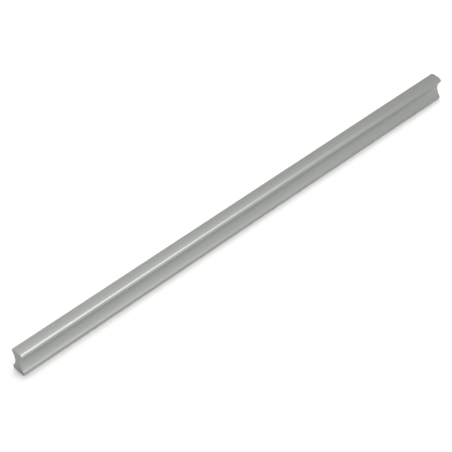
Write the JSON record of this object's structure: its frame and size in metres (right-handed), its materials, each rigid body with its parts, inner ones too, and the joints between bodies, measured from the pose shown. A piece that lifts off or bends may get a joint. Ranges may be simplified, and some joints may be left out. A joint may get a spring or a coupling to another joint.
{
  "type": "furniture handle",
  "caption": "Slim straight bar handle for a furniture front: a solid metal profile with a finger groove along each side and square sawn ends.",
  "frame": {"origin": "centre of the flat underside of the foot, midway between the two screw holes", "axes": "+X along the bar, +Y across it towards the back groove, +Z away from the furniture front towards the crowned grip"},
  "size_m": [0.52, 0.0146, 0.025],
  "materials": {
    "satin_aluminium": "satin anodised, slightly greenish grey, with fine lines along the bar and bare sawn ends"
  },
  "bodies": {
    "root": {"handle_bar": "satin_aluminium"}
  },
  "joints": []
}
